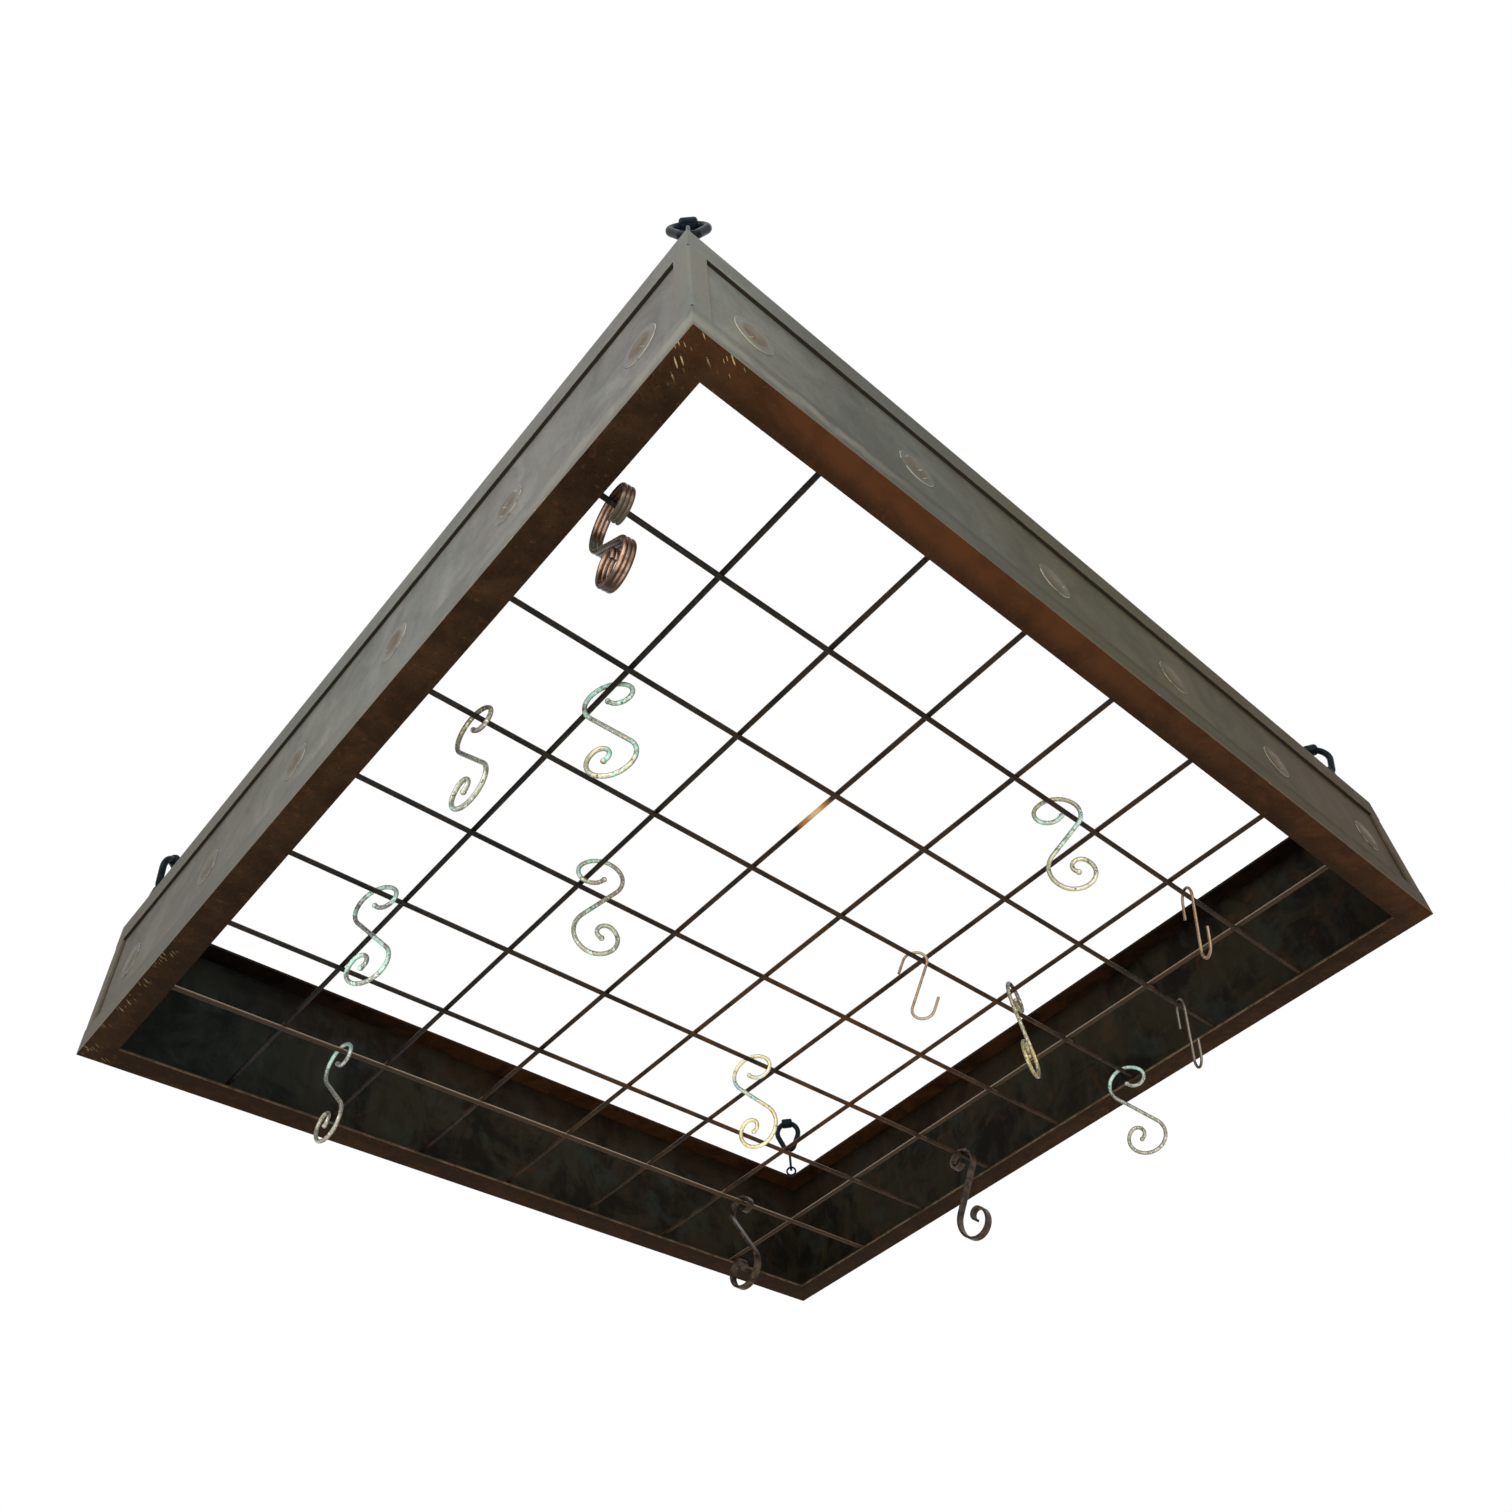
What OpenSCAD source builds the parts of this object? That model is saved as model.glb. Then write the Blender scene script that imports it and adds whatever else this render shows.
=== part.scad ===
// Square hanging pot rack: a shallow sheet-metal box frame of angle iron with
// raised round bosses, a floor grid of round rods, hooks hung on the rods, and
// a two-link hanger standing on an eye above each corner.
// Millimetres, +Z up. The origin is the middle of the rack at its top face.
// West is -X, east +X, south -Y, north +Y.

/* [Frame] */
// Outside size of the rack along X
frame_x = 1000; // [850:10:1400]
// Outside size of the rack along Y
frame_y = 1000; // [850:10:1400]
// Height of the frame between its two outer faces
frame_z = 172; // [130:1:260]
// Width of each leg of the angle-iron rails
angle_w = 30; // [22:1:32]
// Thickness of the angle-iron rails
angle_t = 3; // [2:0.1:4.5]
// Width of each face of the corner posts
post_w = 18; // [12:0.5:28]
// Radius of the upright outer edge of the corner posts
post_round = 2.5; // [0.5:0.1:3]
// Thickness of the sheet-metal side panels
panel_t = 1.5; // [0.8:0.1:2.5]

/* [Medallions] */
// Diameter of the round bosses on the side panels
medallion_d = 39; // [24:0.5:56]
// Height of the dome of each boss above its panel
medallion_rise = 2.4; // [1.2:0.1:5]
// Thickness of the round edge of each boss
medallion_rim = 1.6; // [1.2:0.1:2.2]
// Height of the bosses' centres above the rack's underside
medallion_z = 76; // [62:1:95]
// Distance of the first boss of a side from its corner post's edge
medallion_start = 63; // [48:0.5:75]
// Distance of the last boss of a side from the other corner
medallion_end = 73; // [48:0.5:85]

/* [Rod grid] */
// Diameter of the grid rods
rod_d = 5; // [4:0.1:6]
// Distance of the first rod of each set from the rack's outside
rod_margin = 147.5; // [125:0.5:165]

/* [Scroll hooks] */
// Diameter of the scroll hooks' wire
scroll_wire = 4.2; // [3.4:0.1:5]
// Radius of the slim scroll hooks' upper curl
slim_start = 11.4; // [9.5:0.1:13]
// Radius of the slim scroll hooks' bend over the rod
slim_bend = 22.4; // [20:0.1:25]
// Length of the slim scroll hooks' stem
slim_stem = 54; // [44:0.5:64]
// Radius of the slim scroll hooks' lower loop
slim_loop = 21.5; // [19.5:0.1:25]
// Radius of the slim scroll hooks' loop where it tightens
slim_turn = 17.7; // [16:0.1:19]
// Radius of the slim scroll hooks' curled end
slim_curl = 8; // [6.5:0.1:9]
// Radius of the broad scroll hooks' upper curl
broad_start = 13.1; // [11:0.1:15]
// Radius of the broad scroll hooks' bend over the rod
broad_bend = 22.2; // [20:0.1:25]
// Length of the broad scroll hooks' stem
broad_stem = 44; // [36:0.5:54]
// Radius of the broad scroll hooks' lower sweep
broad_sweep = 28.1; // [26:0.1:34]
// Radius of the broad scroll hooks' lower loop
broad_loop = 18.5; // [16:0.1:21]
// Radius of the broad scroll hooks' curled end
broad_curl = 7.8; // [6.5:0.1:9.5]

/* [Flat iron hooks] */
// Width of the flat bar of the iron hooks
iron_w = 9; // [7:0.1:12]
// Thickness of the flat bar of the iron hooks
iron_t = 3; // [2:0.1:3.6]
// Radius of the iron hooks' upper curl
iron_start = 7.5; // [6:0.1:9]
// Radius of the iron hooks' bend over the rod
iron_bend = 16.2; // [14:0.1:20]
// Length of the iron hooks' stem
iron_stem = 61; // [48:0.5:72]
// Radius of the iron hooks' sweep into the lower loop
iron_sweep = 27; // [25:0.1:31]
// Radius of the iron hooks' lower loop
iron_loop = 18.5; // [17.5:0.1:22]
// Radius of the iron hooks' curled end
iron_curl = 7.5; // [6:0.1:10]

/* [Reeded copper hook] */
// Width of the reeded band
reeded_w = 10; // [8:0.5:13]
// Thickness of the reeded band between its reeds
reeded_t = 2.4; // [1.8:0.1:2.8]
// Depth of the reeds on the band's outer face
reed_depth = 0.8; // [0.4:0.1:1.2]
// Radius of the reeded hook's upper curl
reeded_start = 13.8; // [11:0.1:15]
// Radius of the reeded hook's bend over the rod
reeded_bend = 27.2; // [24:0.1:29]
// Length of the reeded hook's stem
reeded_stem = 46; // [38:0.5:56]
// Radius of the reeded hook's lower loop
reeded_loop = 18.8; // [17:0.1:21]
// Radius of the reeded hook's lower loop at its outer side
reeded_sweep = 22.4; // [20:0.1:25]
// Radius of the reeded hook's curled end
reeded_curl = 9.2; // [8:0.1:10.5]

/* [Wire hooks] */
// Diameter of the plain wire hooks' wire
wire_d = 3; // [2.4:0.1:3.6]
// Radius of the wire hooks' bend over the rod
wire_bend = 12.8; // [11:0.1:15]
// Length of the wire hooks' stem
wire_stem = 56; // [45:0.5:70]
// Radius of the wire hooks' lower bend
wire_loop = 11.4; // [9:0.1:14]
// Length of the wire hooks' straight ends
wire_end = 17; // [8:0.5:24]

/* [Hook places] */
// Hook 1, along its rod from the west wall
hook_01_at = 43.5; // [42.5:0.5:60]
// Hook 2, along its rod from the second crossing rod
hook_02_at = 28.5; // [25:0.5:50]
// Hook 3, along its rod from the west wall
hook_03_at = 75.5; // [45:0.5:110]
// Hook 4, along its rod back from the fourth crossing rod
hook_04_at = 30; // [22:0.5:60]
// Hook 5, along its rod back from the first crossing rod
hook_05_at = 27; // [20:0.5:70]
// Hook 6, along its rod from the first crossing rod
hook_06_at = 64.5; // [12:0.5:80]
// Hook 7, along its rod back from the fifth crossing rod
hook_07_at = 37.5; // [20:0.5:60]
// Hook 8, along its rod from the sixth crossing rod
hook_08_at = 27.5; // [14:0.5:70]
// Hook 9, along its rod back from the east wall
hook_09_at = 78.5; // [45:0.5:100]
// Hook 10, along its rod from the fourth crossing rod
hook_10_at = 49.5; // [24:0.5:70]
// Hook 11, along its rod back from the fifth crossing rod
hook_11_at = 17.5; // [15:0.5:70]
// Hook 12, along its rod back from the third crossing rod
hook_12_at = 20.5; // [16:0.5:60]
// Hook 13, along its rod from the sixth crossing rod
hook_13_at = 24; // [15:0.5:70]
// Hook 14, along its rod back from the east wall
hook_14_at = 95; // [76:0.5:110]
// Hook 15, along its rod back from the east wall
hook_15_at = 45; // [44:0.5:50]

/* [Hangers] */
// Distance of each hanger's eye from the rack's two outer faces
hanger_inset = 15; // [12:0.5:20]
// Height of the eye's centre above the rack's top face
eye_z = 21; // [16:0.5:30]
// Radius of the eye to the middle of its wire
eye_r = 6.4; // [5.8:0.1:8]
// Diameter of the eye's wire
eye_wire = 2.8; // [2.2:0.1:3.2]
// Diameter of the eye's foot
eye_foot_d = 9; // [6:0.5:12]
// Diameter of the lower link's wire
link_wire = 3.5; // [2.8:0.1:3.8]
// Height of the lower link to the middle of its wire
link_h = 37; // [30:0.5:50]
// Diameter of the pear-shaped upper link's wire
loop_wire = 7.6; // [6:0.1:8.6]
// Radius of the upper link's narrow end to the middle of its wire
loop_narrow = 8; // [7.6:0.1:9]
// Radius of the upper link's wide end to the middle of its wire
loop_wide = 15.5; // [13:0.1:18]
// Height of the upper link to the middle of its wire
loop_h = 42; // [36:0.5:60]
// Diameter of the barrel at the top of the upper link
crown_d = 14; // [12:0.1:15]
// Length of the barrel at the top of the upper link
crown_w = 16; // [14:0.5:18]
// Angle by which the chains pull the links over towards the rack's middle
hanger_lean = 10; // [0:1:15]

/* [Hidden] */
$fn = 64;

run_gap = 0.3;
link_play = 0.4;
rod_count = 7;
medallion_count = 6;
rod_r = rod_d / 2;
rod_x_z = angle_t + rod_r;
rod_y_z = rod_x_z + rod_d;
rod_inset = angle_t + panel_t;
dome_inset = 1.2;
eye_shank_d = 4;
eye_foot_h = 2;
eye_top = eye_z + eye_r;
link_r = loop_wire / 2 + run_gap + link_play + link_wire / 2;
link_z = eye_top - eye_wire / 2 - run_gap - link_wire / 2;
loop_z = link_z + link_h - link_wire / 2 - run_gap - loop_wire / 2;
crown_gap = 20;
crown_round = 3;
knob_ratio = 1.25;
tip_ratio = 0.6;
scroll_tip = scroll_wire * tip_ratio;
proud = 0.04;

frame_color = "#6f7168";
flange_color = "#4a3624";
panel_color = "#6c6b62";
medallion_color = "#77786e";
rod_color = "#33261d";
verdigris_color = "#a9bba4";
brass_color = "#b8ab84";
iron_color = "#3a332b";
copper_color = "#8a5f4a";
wire_color = "#a9744f";
hanger_color = "#2b3338";

// Hook paths: [bend radius, degrees turned], or [0, length] for a straight.
// Each starts at the end above the rod and runs down to the lower end.
slim_path = [
    [0, scroll_tip], [slim_start, 180], [slim_bend, 180], [0, slim_stem],
    [slim_loop, -180], [slim_turn, -90], [slim_curl, -180], [0, scroll_tip]
];
broad_path = [
    [0, scroll_tip], [broad_start, 180], [broad_bend, 180], [0, broad_stem],
    [broad_sweep, -90], [broad_loop, -180], [broad_curl, -180], [0, scroll_tip]
];
iron_path = [
    [iron_start, 180], [iron_bend, 180], [0, iron_stem],
    [iron_sweep, -90], [iron_loop, -180], [iron_curl, -180]
];
reeded_path = [
    [reeded_start, 180], [reeded_bend, 180], [0, reeded_stem],
    [reeded_loop, -180], [reeded_sweep, -90], [reeded_curl, -180]
];
wire_path = [
    [0, wire_end], [wire_bend, 180], [0, wire_stem],
    [wire_loop, -180], [0, wire_end]
];

// ---- paths of bends and straights -------------------------------------

function turned(p, a) = [p[0] * cos(a) - p[1] * sin(a), p[0] * sin(a) + p[1] * cos(a)];
function step_length(s) = s[0] == 0 ? s[1] : s[0] * abs(s[1]) * PI / 180;
function step_turn(s) = s[0] == 0 ? 0 : s[1];
function step_end(s) = s[0] == 0
    ? [s[1], 0]
    : [s[0] * sin(abs(s[1])), sign(s[1]) * s[0] * (1 - cos(s[1]))];
function step_middle(s) = s[0] == 0
    ? [s[1] / 2, 0]
    : let (half = abs(s[1]) / 2, far = s[0] * sin(half) / (half * PI / 180))
        [far * sin(half), sign(s[1]) * (s[0] - far * cos(half))];
function step_place(path, i) = i == 0
    ? [0, 0, 0]
    : let (q = step_place(path, i - 1), e = turned(step_end(path[i - 1]), q[2]))
        [q[0] + e[0], q[1] + e[1], q[2] + step_turn(path[i - 1])];
function bend_centre(path, i) =
    let (q = step_place(path, i), c = turned([0, sign(path[i][1]) * path[i][0]], q[2]))
        [q[0] + c[0], q[1] + c[1]];
// The bend over the rod is the one before the stem, the first inner straight.
function bend_step(path) = [for (i = [1:len(path) - 1]) if (path[i][0] == 0) i][0] - 1;
function summed(v, i = 0) = i == len(v) - 1 ? v[i] : v[i] + summed(v, i + 1);
function balance(path) = summed([
    for (i = [0:len(path) - 1])
        let (q = step_place(path, i), m = turned(step_middle(path[i]), q[2]))
            step_length(path[i]) * [q[0] + m[0], q[1] + m[1]]
]) / summed([for (s = path) step_length(s)]);

// Draws the path's solid, with its 2-D section as the child.
module trace(path, i = 0) {
    if (i < len(path)) {
        s = path[i];
        if (s[0] == 0) {
            rotate([90, 0, 90]) linear_extrude(s[1]) children();
            translate([s[1], 0, 0]) trace(path, i + 1) children();
        } else {
            side = sign(s[1]);
            translate([0, side * s[0], 0]) {
                rotate([0, 0, side > 0 ? -90 : 90 + s[1]]) rotate_extrude(angle = abs(s[1]))
                    translate([s[0], 0]) children();
                rotate([0, 0, s[1]]) translate([0, -side * s[0], 0])
                    trace(path, i + 1) children();
            }
        }
    }
}

// Stands a path upright under the rod at the origin, as it hangs freely: its
// centre of mass lies straight below the middle of the bend over the rod.
module hung(path, half_t) {
    k = bend_step(path);
    c = bend_centre(path, k);
    m = balance(path);
    lean = -90 - atan2(m[1] - c[1], m[0] - c[0]);
    translate([0, 0, half_t + run_gap + rod_r - path[k][0]])
        rotate([90, 0, 0]) rotate([0, 0, lean]) translate([-c[0], -c[1], 0]) children();
}

module path_end(path) {
    q = step_place(path, len(path));
    translate([q[0], q[1], 0]) rotate([0, 0, q[2]]) children();
}

// ---- frame --------------------------------------------------------------

module from_corner() {
    translate([-frame_x / 2, -frame_y / 2, -frame_z]) children();
}

// Turns a thing drawn along the south side onto side number n, in the order
// south, east, north, west.
module on_side(n) {
    from_corner()
        translate([n == 1 || n == 2 ? frame_x : 0, n == 2 || n == 3 ? frame_y : 0, 0])
            rotate([0, 0, 90 * n]) children();
}

function side_length(n) = n % 2 == 0 ? frame_x : frame_y;

module mitred(length, depth, h) {
    linear_extrude(h)
        polygon([[0, 0], [length, 0], [length - depth, depth], [depth, depth]]);
}

module rail(n) {
    color(flange_color) on_side(n) {
        mitred(side_length(n), angle_w, angle_t);
        translate([0, 0, angle_t]) mitred(side_length(n), angle_t, angle_w - angle_t);
    }
}

module rail_top(n) {
    color(frame_color) on_side(n) {
        translate([0, 0, frame_z - angle_t]) mitred(side_length(n), angle_w, angle_t);
        translate([0, 0, frame_z - angle_w]) mitred(side_length(n), angle_t, angle_w - angle_t);
    }
}

module post(n) {
    color(frame_color) on_side(n) translate([0, 0, angle_w])
        linear_extrude(frame_z - 2 * angle_w) difference() {
            square(post_w);
            translate([angle_t, angle_t]) square(post_w);
            difference() {
                square(post_round);
                translate([post_round, post_round]) circle(post_round);
            }
        }
}

// The west and east panels run the whole way; the others fit between them.
module panel(n) {
    in = n % 2 == 0 ? angle_t + panel_t : angle_t;
    color(panel_color) on_side(n) translate([in, angle_t, angle_t])
        cube([side_length(n) - 2 * in, panel_t, frame_z - 2 * angle_t]);
}

module medallion() {
    edge = medallion_d / 2;
    dome = edge - dome_inset;
    ball = (dome * dome + medallion_rise * medallion_rise) / (2 * medallion_rise);
    rotate([90, 0, 0]) rotate_extrude() {
        square([edge - medallion_rim / 2, medallion_rim / 2]);
        intersection() {
            translate([edge - medallion_rim / 2, 0]) circle(medallion_rim / 2);
            translate([edge - medallion_rim, 0]) square([medallion_rim, medallion_rim]);
        }
        intersection() {
            translate([0, medallion_rise - ball]) circle(ball, $fn = 256);
            square([dome, medallion_rise]);
        }
    }
}

module medallions(n, flipped) {
    pitch = (side_length(n) - medallion_start - medallion_end) / (medallion_count - 1);
    first = flipped ? medallion_end : medallion_start;
    color(medallion_color) on_side(n)
        for (i = [0:medallion_count - 1])
            translate([first + pitch * i, angle_t, medallion_z]) medallion();
}

// ---- rod grid -------------------------------------------------------------

function rod_place(i, side) = rod_margin + (side - 2 * rod_margin) * (i - 1) / (rod_count - 1);

module rod_x(i) {
    color(rod_color) from_corner() translate([rod_inset, rod_place(i, frame_y), rod_x_z])
        rotate([0, 90, 0]) cylinder(h = frame_x - 2 * rod_inset, r = rod_r);
}

module rod_y(i) {
    color(rod_color) from_corner() translate([rod_place(i, frame_x), rod_inset, rod_y_z])
        rotate([-90, 0, 0]) cylinder(h = frame_y - 2 * rod_inset, r = rod_r);
}

// ---- hangers --------------------------------------------------------------

module on_corner(n) {
    x = frame_x / 2 - hanger_inset;
    y = frame_y / 2 - hanger_inset;
    translate([n == 1 || n == 2 ? x : -x, n == 2 || n == 3 ? y : -y, 0])
        rotate([0, 0, n == 3 ? 45 : -45]) children();
}

module eyes() {
    color(hanger_color) for (n = [0:3]) on_corner(n) {
        cylinder(h = eye_foot_h, d = eye_foot_d);
        cylinder(h = eye_z - eye_r, d = eye_shank_d);
        translate([0, 0, eye_z]) rotate([90, 0, 0])
            rotate_extrude() translate([eye_r, 0]) circle(d = eye_wire);
    }
}

// Leans a corner's links towards the rack's middle. At the south-east corner
// the lower link slides round its eye; at the others it swings on it.
module leaning(n) {
    slides = n == 1;
    pivot = slides ? eye_z : eye_top;
    angle = n == 0 || slides ? -hanger_lean : hanger_lean;
    on_corner(n) translate([0, 0, pivot])
        rotate(slides ? [0, angle, 0] : [angle, 0, 0]) translate([0, 0, -pivot]) children();
}

module link(n) {
    side = link_h - 2 * link_r;
    color(hanger_color) leaning(n) translate([0, 0, link_z]) rotate([90, 0, 90])
        trace([[link_r, 90], [0, side], [link_r, 180], [0, side], [link_r, 90]])
            circle(d = link_wire);
}

// A wire path whose turns aren't right angles: a ball a hair prouder than the
// wire joins each piece to the next.
module jointed(path, wire) {
    trace(path) circle(d = wire);
    for (i = [1:len(path) - 1]) {
        q = step_place(path, i);
        translate([q[0], q[1], 0]) sphere(d = wire + 2 * proud);
    }
}

// Barrel with rounded rims, along Z.
module crown() {
    waist = crown_w - 2 * crown_round;
    rotate_extrude() {
        translate([0, -crown_w / 2]) square([crown_d / 2 - crown_round, crown_w]);
        translate([0, -waist / 2]) square([crown_d / 2, waist]);
        for (end = [-1, 1])
            translate([crown_d / 2 - crown_round, end * waist / 2]) circle(crown_round);
    }
}

module loop(n) {
    rise = loop_h - loop_wide - loop_narrow;
    flare = asin((loop_wide - loop_narrow) / rise);
    side = rise * cos(flare);
    reach = 90 + flare - crown_gap;
    path = [
        [loop_wide, reach], [0, side], [loop_narrow, 180 - 2 * flare], [0, side],
        [loop_wide, reach]
    ];
    color(hanger_color) leaning(n) translate([0, 0, loop_z + loop_narrow + rise])
        rotate([90, 0, 0]) {
            rotate([0, 0, 90 + crown_gap]) translate([loop_wide, 0, 0]) rotate([0, 0, 90])
                jointed(path, loop_wire);
            translate([0, loop_wide, 0]) rotate([0, 90, 0]) crown();
        }
}

// ---- hooks ----------------------------------------------------------------

// Puts a hook on rod number i of the set along X, at the given distance along
// it from the west, turned about the upright from square to the rod.
module on_rod_x(i, along, turn) {
    from_corner() translate([along, rod_place(i, frame_y), rod_x_z])
        rotate([0, 0, 90 + turn]) children();
}

module on_rod_y(i, along, turn) {
    from_corner() translate([rod_place(i, frame_x), along, rod_y_z])
        rotate([0, 0, turn]) children();
}

module scroll_hook(path) {
    knob = scroll_wire * knob_ratio;
    hung(path, scroll_wire / 2) {
        trace(path) circle(d = scroll_wire);
        rotate([0, 90, 0]) sphere(d = knob);
        path_end(path) rotate([0, 90, 0]) sphere(d = knob);
    }
}

module iron_hook() {
    hung(iron_path, iron_t / 2) trace(iron_path) square([iron_t, iron_w], center = true);
}

// The band carries three reeds on each face.
module reeded_hook() {
    hung(reeded_path, reeded_t / 2 + reed_depth) trace(reeded_path) {
        square([reeded_t, reeded_w], center = true);
        for (k = [-1:1])
            translate([0, k * reeded_w / 3]) circle(d = reeded_t + 2 * reed_depth);
    }
}

module wire_hook() {
    hung(wire_path, wire_d / 2) trace(wire_path) circle(d = wire_d);
}

module hook_01() {
    color(copper_color) on_rod_x(1, hook_01_at, 173) reeded_hook();
}

module hook_02() {
    color(verdigris_color) on_rod_y(1, rod_place(2, frame_y) + hook_02_at, -56.5)
        scroll_hook(slim_path);
}

module hook_03() {
    color(verdigris_color) on_rod_x(3, hook_03_at, -174) scroll_hook(slim_path);
}

module hook_04() {
    color(verdigris_color) on_rod_y(2, rod_place(4, frame_y) - hook_04_at, 155)
        scroll_hook(broad_path);
}

module hook_05() {
    color(verdigris_color) on_rod_x(5, rod_place(1, frame_x) - hook_05_at, -152.5)
        scroll_hook(slim_path);
}

module hook_06() {
    color(verdigris_color) on_rod_x(7, rod_place(1, frame_x) + hook_06_at, -175.5)
        scroll_hook(slim_path);
}

module hook_07() {
    color(brass_color) on_rod_x(5, rod_place(5, frame_x) - hook_07_at, -151)
        scroll_hook(broad_path);
}

module hook_08() {
    color(iron_color) on_rod_x(7, rod_place(6, frame_x) + hook_08_at, -173) iron_hook();
}

module hook_09() {
    color(iron_color) on_rod_x(5, frame_x - hook_09_at, 3.5) iron_hook();
}

module hook_10() {
    color(verdigris_color) on_rod_x(1, rod_place(4, frame_x) + hook_10_at, 37)
        scroll_hook(broad_path);
}

module hook_11() {
    color(wire_color) on_rod_x(3, rod_place(5, frame_x) - hook_11_at, 36) wire_hook();
}

module hook_12() {
    color(brass_color) on_rod_y(6, rod_place(3, frame_y) - hook_12_at, 20)
        scroll_hook(slim_path);
}

module hook_13() {
    color(wire_color) on_rod_x(1, rod_place(6, frame_x) + hook_13_at, -37) wire_hook();
}

module hook_14() {
    color(wire_color) on_rod_x(2, frame_x - hook_14_at, -41) wire_hook();
}

module hook_15() {
    color(verdigris_color) on_rod_x(3, frame_x - hook_15_at, -157) scroll_hook(slim_path);
}

// ---- what is drawn --------------------------------------------------------

rail(0);  // rail_low_south
rail(1);  // rail_low_east
rail(2);  // rail_low_north
rail(3);  // rail_low_west
rail_top(0);  // rail_top_south
rail_top(1);  // rail_top_east
rail_top(2);  // rail_top_north
rail_top(3);  // rail_top_west
post(0);  // post_sw
post(1);  // post_se
post(2);  // post_ne
post(3);  // post_nw
panel(0);  // panel_south
panel(1);  // panel_east
panel(2);  // panel_north
panel(3);  // panel_west
medallions(0, false);  // medallions_south
medallions(1, false);  // medallions_east
medallions(2, true);  // medallions_north
medallions(3, true);  // medallions_west
for (i = [1:rod_count]) {
    rod_x(i);
    rod_y(i);
}
eyes();
link(0);  // link_sw
link(1);  // link_se
link(2);  // link_ne
link(3);  // link_nw
loop(0);  // loop_sw
loop(1);  // loop_se
loop(2);  // loop_ne
loop(3);  // loop_nw
hook_01();
hook_02();
hook_03();
hook_04();
hook_05();
hook_06();
hook_07();
hook_08();
hook_09();
hook_10();
hook_11();
hook_12();
hook_13();
hook_14();
hook_15();
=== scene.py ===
"""Looks for the hanging pot rack: materials, light and camera around the fixed CAD frame."""
import math

import bpy
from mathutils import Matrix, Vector

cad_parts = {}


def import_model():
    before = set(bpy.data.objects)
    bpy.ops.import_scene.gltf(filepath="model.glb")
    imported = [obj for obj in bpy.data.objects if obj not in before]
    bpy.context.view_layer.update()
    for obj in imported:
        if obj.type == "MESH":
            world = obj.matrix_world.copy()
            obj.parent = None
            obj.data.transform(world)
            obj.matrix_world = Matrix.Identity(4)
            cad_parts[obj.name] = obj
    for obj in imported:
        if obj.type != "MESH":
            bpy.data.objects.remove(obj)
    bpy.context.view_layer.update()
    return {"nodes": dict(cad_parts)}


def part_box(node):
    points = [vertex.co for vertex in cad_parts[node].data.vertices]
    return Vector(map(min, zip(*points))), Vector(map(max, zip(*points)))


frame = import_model()
nodes = frame["nodes"]

SIDES = ("west", "south", "east", "north")
CORNERS = ("sw", "se", "ne", "nw")
RODS = range(1, 8)


def middle_x(node):
    low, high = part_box(node)
    return (low.x + high.x) / 2


# Metres, in the CAD frame: origin in the middle of the top face, +Z up. The
# photograph's near corner is south-west, at (-HALF, -HALF).
RAIL_LOW, RAIL_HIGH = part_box("rail_low_west")
HALF = -RAIL_LOW.x
DEEP = -RAIL_LOW.z
ANGLE_W = RAIL_HIGH.x - RAIL_LOW.x
POST_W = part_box("post_sw")[1].x + HALF
PANEL_OUT = -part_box("panel_west")[0].x
THIRD_ROD = middle_x("rod_y_3")
LAST_ROD = middle_x("rod_y_7")
STEM_Z = -0.205  # middle of a hook's stem
GRAIN = 0.0006  # depth of the frame's unevenness

UP = (0, 0, 1)
# Direction of the hooks' painted light and highlights: from the rack down to the room, on the side of the
# near corner.
PAINTED_LIGHT_FROM = (-0.51, -0.46, -0.73)


def linear(c):
    c = c / 255
    return c / 12.92 if c <= 0.04045 else ((c + 0.055) / 1.055) ** 2.4


def rgb(r, g, b):
    return (linear(r), linear(g), linear(b), 1.0)


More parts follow.
